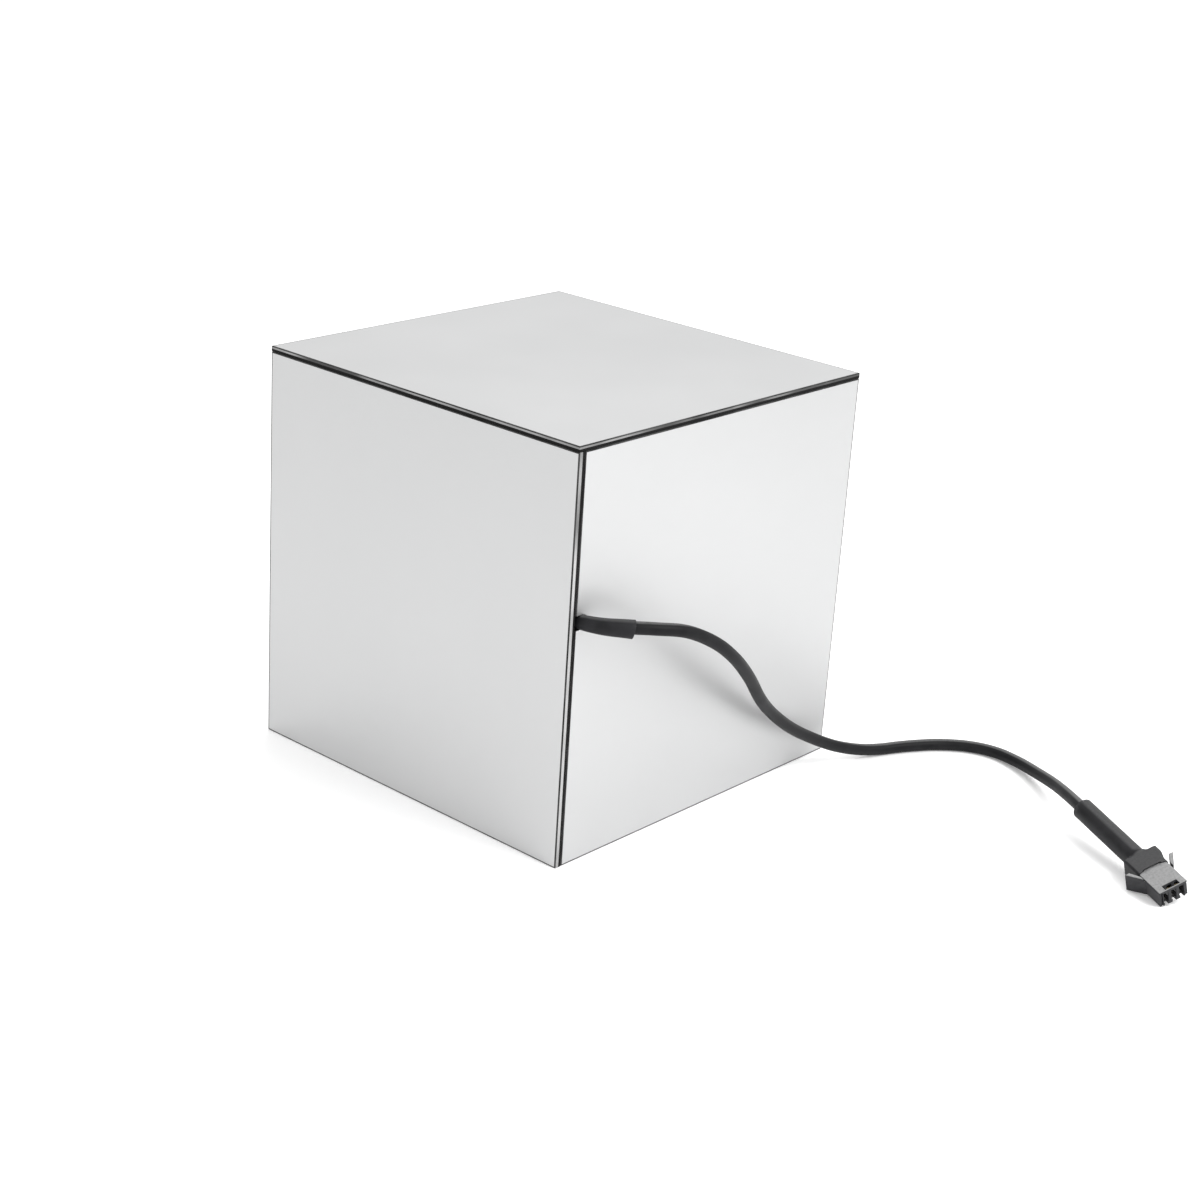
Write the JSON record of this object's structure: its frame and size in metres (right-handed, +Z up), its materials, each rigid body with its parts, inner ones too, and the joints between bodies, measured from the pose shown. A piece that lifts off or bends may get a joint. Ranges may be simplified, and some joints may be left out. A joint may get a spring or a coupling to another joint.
{
  "type": "infinity mirror cube lamp",
  "caption": "Mirrored cube lamp: mirror panels over a light-strip frame, with a short flexible lead that ends in a latching inline plug.",
  "frame": {"origin": "centre of the cube's underside, on the surface it stands on", "axes": "+Z up; -Y is the front panel's outward side; +X is the right panel's outward side, where the lead leaves the cube"},
  "size_m": [0.2484, 0.1583, 0.12],
  "materials": {
    "mirror_acrylic": "silvered one-way mirror acrylic with polished cut edges",
    "black_foam_tape": "matt",
    "frame_bar": "matt extruded",
    "corner_plastic": "matt moulded",
    "strip_board": "satin solder mask",
    "light_package": "gloss",
    "jumper_wire": "satin",
    "core_wire": "satin",
    "tie_nylon": "satin",
    "cord_jacket": "satin",
    "shrink_sleeve": "satin",
    "plug_nylon": "satin moulded",
    "contact_brass": "tinned and stamped"
  },
  "bodies": {
    "lamp": {"top_panel": "mirror_acrylic", "bottom_panel": "mirror_acrylic", "front_panel": "mirror_acrylic", "right_panel": "mirror_acrylic", "back_panel": "mirror_acrylic", "left_panel": "mirror_acrylic", "top_tape": "black_foam_tape", "bottom_tape": "black_foam_tape", "front_tape": "black_foam_tape", "right_tape": "black_foam_tape", "back_tape": "black_foam_tape", "left_tape": "black_foam_tape", "top_front_rail": "frame_bar", "top_right_rail": "frame_bar", "top_back_rail": "frame_bar", "top_left_rail": "frame_bar", "bottom_front_rail": "frame_bar", "bottom_right_rail": "frame_bar", "bottom_back_rail": "frame_bar", "bottom_left_rail": "frame_bar", "front_left_post": "frame_bar", "front_right_post": "frame_bar", "back_right_post": "frame_bar", "back_left_post": "frame_bar", "bottom_front_left_corner": "corner_plastic", "bottom_front_right_corner": "corner_plastic", "bottom_back_right_corner": "corner_plastic", "bottom_back_left_corner": "corner_plastic", "top_front_left_corner": "corner_plastic", "top_front_right_corner": "corner_plastic", "top_back_right_corner": "corner_plastic", "top_back_left_corner": "corner_plastic", "top_front_strip": "strip_board", "top_right_strip": "strip_board", "top_back_strip": "strip_board", "top_left_strip": "strip_board", "bottom_front_strip": "strip_board", "bottom_right_strip": "strip_board", "bottom_back_strip": "strip_board", "bottom_left_strip": "strip_board", "front_left_strip": "strip_board", "front_right_strip": "strip_board", "back_right_strip": "strip_board", "back_left_strip": "strip_board", "top_lights": "light_package", "bottom_lights": "light_package", "post_lights": "light_package", "jumper_wires": "jumper_wire", "inner_wires": "core_wire", "cable_tie": "tie_nylon", "cord": "cord_jacket", "exit_sleeve": "shrink_sleeve", "plug_boot": "shrink_sleeve", "plug_wires": "core_wire", "plug_housing": "plug_nylon", "plug_contacts": "contact_brass"},
    "near_latch": {"near_latch": "plug_nylon"},
    "far_latch": {"far_latch": "plug_nylon"}
  },
  "joints": [
    {"name": "near_latch_squeeze", "type": "hinge", "parent": "lamp", "child": "near_latch", "pos_m": [0.17983, 0.04995, 0.00321], "axis": [0.0419, 0.3557, -0.9337], "range_deg": [0, 6], "stiffness_Nm_per_rad": 0.05},
    {"name": "far_latch_squeeze", "type": "hinge", "parent": "lamp", "child": "far_latch", "pos_m": [0.18321, 0.05678, 0.00596], "axis": [-0.0419, -0.3557, 0.9337], "range_deg": [0, 6], "stiffness_Nm_per_rad": 0.05}
  ]
}
